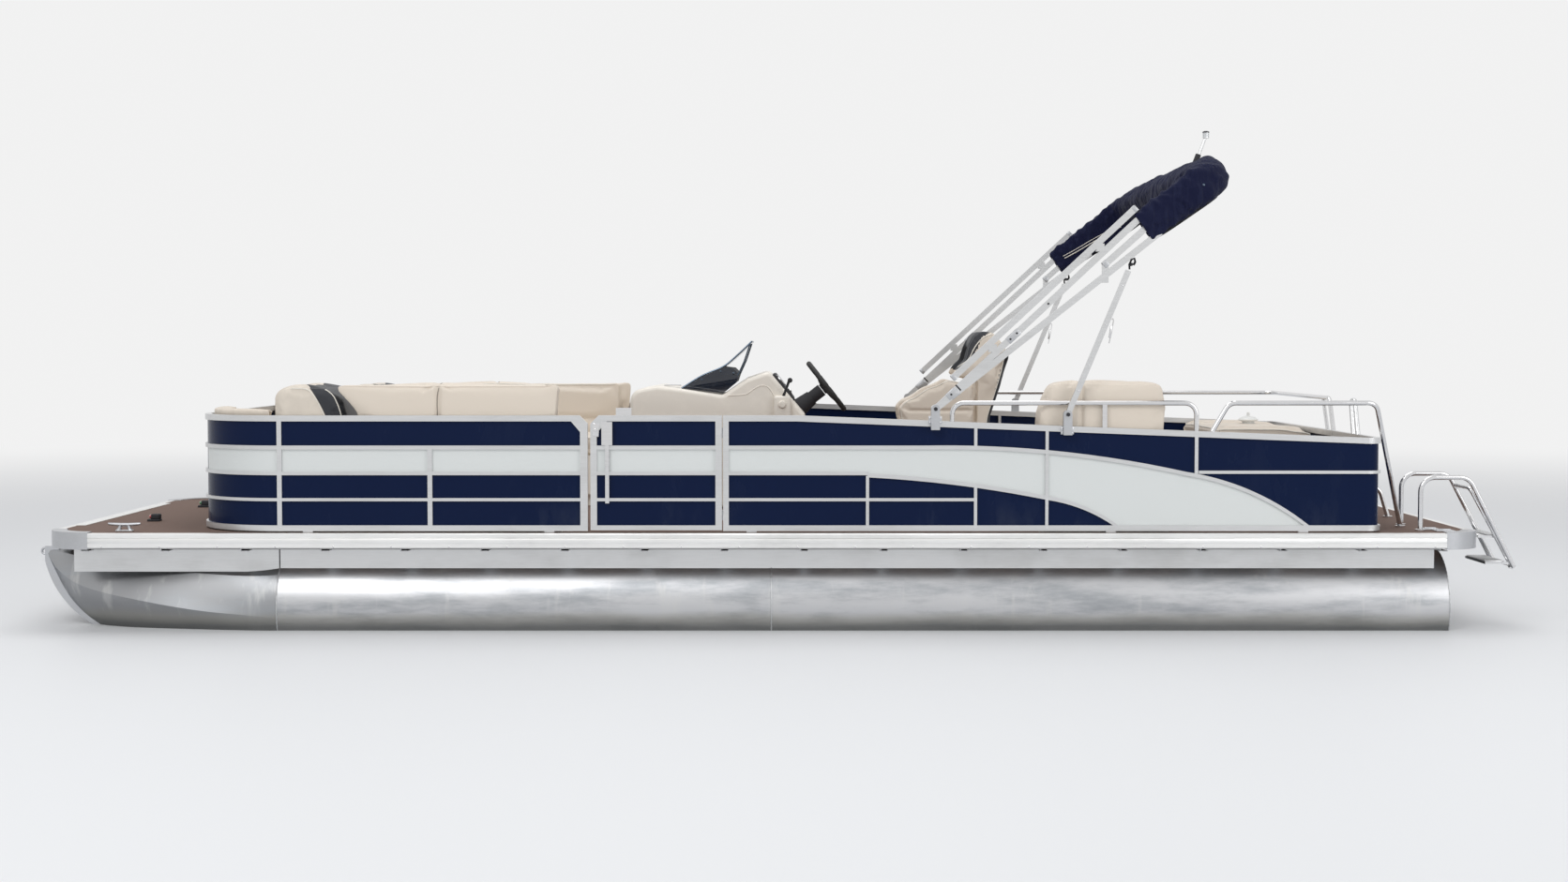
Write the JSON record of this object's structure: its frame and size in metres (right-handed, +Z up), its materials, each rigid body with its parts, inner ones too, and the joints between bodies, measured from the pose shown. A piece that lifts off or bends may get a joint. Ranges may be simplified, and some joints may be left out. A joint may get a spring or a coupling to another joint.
{
  "type": "pontoon boat",
  "caption": "Twin-tube aluminium deck boat with a fenced seating area, helm console, swivel chair, stowed folding top and stern ladder.",
  "frame": {"origin": "midway along the whole boat on its centre line, at the bottom of the tubes", "axes": "+X to the stern, -Y to port, +Z up; the bow points to -X"},
  "size_m": [7.66, 2.59, 2.778],
  "materials": {
    "tube_aluminium": "mill finish, lightly polished",
    "rail_aluminium": "satin anodised",
    "blue_sheet": "gloss navy blue",
    "grey_sheet": "gloss light grey",
    "deck_covering": "brown deck covering",
    "stainless": "polished stainless steel",
    "beige_vinyl": "grained marine vinyl",
    "moulded_base": "moulded, satin",
    "black_plastic": "moulded, satin",
    "tinted_screen": "smoked acrylic",
    "boot_canvas": "woven acrylic canvas",
    "lamp_plastic": "white"
  },
  "bodies": {
    "hull": {"aft_bench_back": "beige_vinyl", "aft_bench_base": "moulded_base", "aft_bench_seat": "beige_vinyl", "aft_blue_panels": "blue_sheet", "aft_grey_panels": "grey_sheet", "bow_blue_panels": "blue_sheet", "bow_grey_panels": "grey_sheet", "bow_lights": "black_plastic", "chair_pedestal": "stainless", "chaise_backs": "beige_vinyl", "cleats": "rail_aluminium", "console": "moulded_base", "corner_castings": "rail_aluminium", "corner_pads": "beige_vinyl", "couch_bases": "moulded_base", "crossmembers": "tube_aluminium", "deck": "deck_covering", "gate_hinges": "rail_aluminium", "guard_rails": "stainless", "ladder_rails": "stainless", "motor_pod": "tube_aluminium", "nosecones": "tube_aluminium", "port_aft_fence": "rail_aluminium", "port_bow_fence": "rail_aluminium", "port_couch_back": "beige_vinyl", "port_couch_seat": "beige_vinyl", "port_tube": "tube_aluminium", "risers": "tube_aluminium", "rub_rails": "rail_aluminium", "starboard_aft_fence": "rail_aluminium", "starboard_bow_fence": "rail_aluminium", "starboard_couch_back": "beige_vinyl", "starboard_couch_seat": "beige_vinyl", "starboard_tube": "tube_aluminium", "steering_column": "black_plastic", "stem_strips": "tube_aluminium", "sunpad": "beige_vinyl", "sunpad_base": "moulded_base", "throttle": "black_plastic", "top_mounts": "rail_aluminium", "windshield": "tinted_screen"},
    "side_gate": {"side_gate_frame": "rail_aluminium", "side_gate_blue_panels": "blue_sheet", "side_gate_grey_panel": "grey_sheet", "side_gate_latch": "stainless"},
    "bow_gate": {"bow_gate_frame": "rail_aluminium", "bow_gate_panels": "blue_sheet"},
    "stern_gate": {"stern_gate_frame": "rail_aluminium", "stern_gate_panels": "blue_sheet"},
    "folding_top": {"top_legs": "rail_aluminium", "top_boot": "boot_canvas", "anchor_light": "lamp_plastic"},
    "top_strut": {"top_struts": "rail_aluminium"},
    "steering_wheel": {"steering_wheel": "black_plastic"},
    "helm_chair": {"chair_swivel_plate": "black_plastic", "chair_seat": "beige_vinyl", "chair_arms": "beige_vinyl", "chair_back": "beige_vinyl"},
    "ladder_section": {"ladder_step_section": "stainless"}
  },
  "joints": [
    {"name": "side_gate_hinge", "type": "hinge", "parent": "hull", "child": "side_gate", "pos_m": [-0.253, -1.194, 1], "axis": [0, 0, -1], "range_deg": [0, 100]},
    {"name": "bow_gate_hinge", "type": "hinge", "parent": "hull", "child": "bow_gate", "pos_m": [-2.949, 0.348, 1], "axis": [0, 0, 1], "range_deg": [0, 100]},
    {"name": "stern_gate_hinge", "type": "hinge", "parent": "hull", "child": "stern_gate", "pos_m": [3.073, -0.297, 1], "axis": [0, 0, -1], "range_deg": [0, 100]},
    {"name": "top_pivot", "type": "hinge", "parent": "hull", "child": "folding_top", "pos_m": [0.828, 0, 1.323], "axis": [0, -1, 0], "range_deg": [0, 50]},
    {"name": "strut_pivot", "type": "hinge", "parent": "hull", "child": "top_strut", "pos_m": [1.499, 0, 1.295], "axis": [0, 1, 0], "range_deg": [0, 57]},
    {"name": "steering", "type": "hinge", "parent": "hull", "child": "steering_wheel", "pos_m": [0.313, 0.72, 1.401], "axis": [0.788, 0, 0.6157], "range_deg": [-540, 540]},
    {"name": "chair_swivel", "type": "hinge", "parent": "hull", "child": "helm_chair", "pos_m": [1.08, 0.68, 1.02], "axis": [0, 0, 1], "continuous": true},
    {"name": "ladder_fold", "type": "hinge", "parent": "hull", "child": "ladder_section", "pos_m": [3.816, -0.952, 0.505], "axis": [0, 1, 0], "range_deg": [0, 180]}
  ]
}
